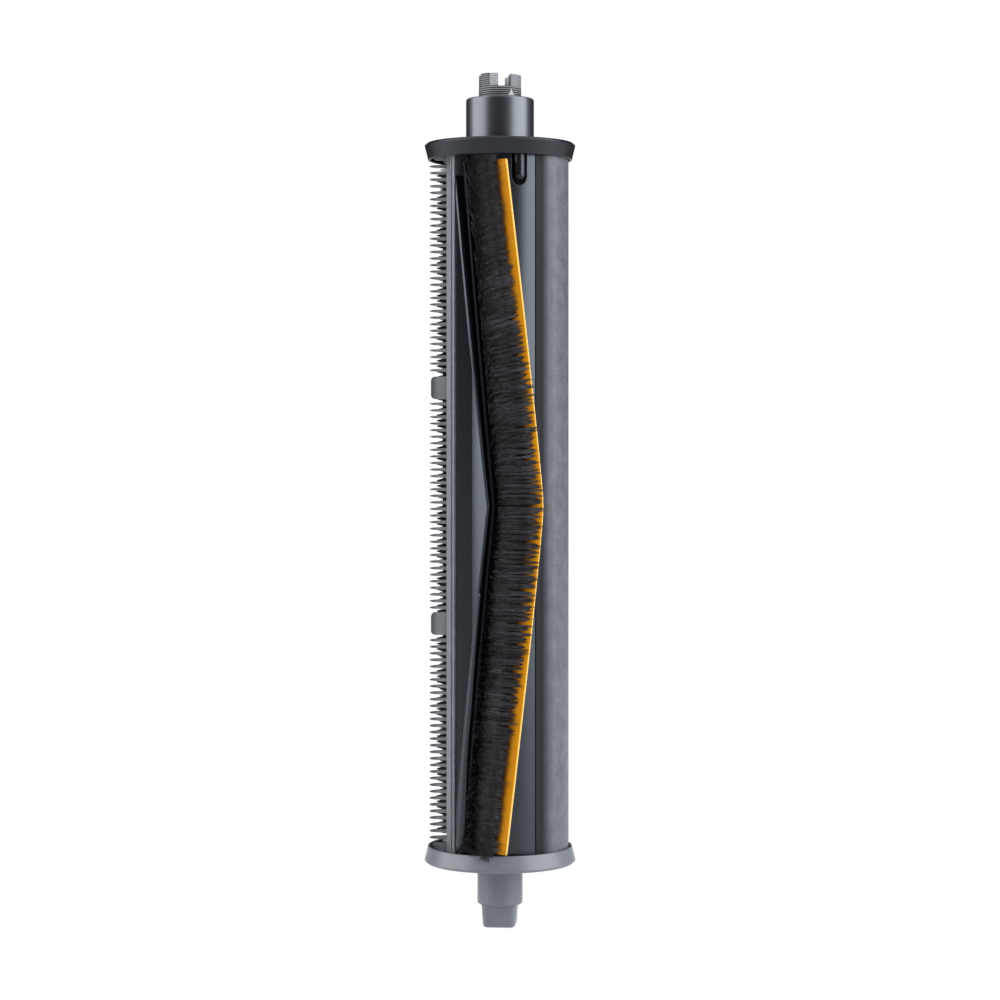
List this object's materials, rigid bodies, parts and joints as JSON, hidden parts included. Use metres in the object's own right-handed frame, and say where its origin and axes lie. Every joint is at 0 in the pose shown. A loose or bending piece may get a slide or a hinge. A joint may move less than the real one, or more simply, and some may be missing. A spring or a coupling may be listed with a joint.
{
  "type": "robot vacuum roller brush",
  "caption": "Robot vacuum roller brush with V-laid bristle and wiper strips, a hair comb with a sliding cutter blade, a bearing end with a slotted crown and a square drive peg",
  "frame": {"origin": "on the roller's axis, at the outer face of the drive flange where the journal starts", "axes": "+Z along the roller's axis towards the bearing end; -Y is the side with the front V strip; the hair comb is on the -X side"},
  "size_m": [0.0344, 0.0346, 0.1941],
  "materials": {
    "textured_plastic": "fine spark-eroded grain",
    "holder_plastic": "smooth satin",
    "backing_rubber": "matte",
    "bristle": "soft nylon pile",
    "wiper_rubber": "smooth translucent satin",
    "comb_plastic": "satin",
    "blade_steel": "ground, dark",
    "carrier_plastic": "satin",
    "pin_steel": "turned",
    "flange_plastic": "satin",
    "collar_plastic": "polished",
    "bush_bronze": "sintered",
    "crown_plastic": "satin",
    "drive_plastic": "satin"
  },
  "bodies": {
    "roller": {"roller_shell": "textured_plastic", "bristle_holder_front": "holder_plastic", "bristle_holder_rear": "holder_plastic", "bristle_backing_front": "backing_rubber", "bristle_backing_rear": "backing_rubber", "bristles_front": "bristle", "bristles_rear": "bristle", "wiper_front": "wiper_rubber", "wiper_rear": "wiper_rubber", "comb_guard": "comb_plastic", "end_cap_flange": "flange_plastic", "bearing_collar": "collar_plastic", "bearing_bush": "bush_bronze", "retaining_ring": "pin_steel", "thrust_washer": "carrier_plastic", "drive_end_cap": "drive_plastic"},
    "cutter": {"cutter_blade": "blade_steel", "blade_carrier": "carrier_plastic", "blade_rivets": "pin_steel", "follower_pin": "pin_steel"},
    "crown": {"cam_shaft": "carrier_plastic", "end_crown": "crown_plastic"}
  },
  "joints": [
    {"name": "crown_turn", "type": "hinge", "parent": "roller", "child": "crown", "pos_m": [0, 0, 0.1682], "axis": [0, 0, 1], "continuous": true},
    {"name": "cutter_slide", "type": "slide", "parent": "roller", "child": "cutter", "axis": [0, 0, 1], "range_m": [-0.0005, 0.0005]}
  ]
}
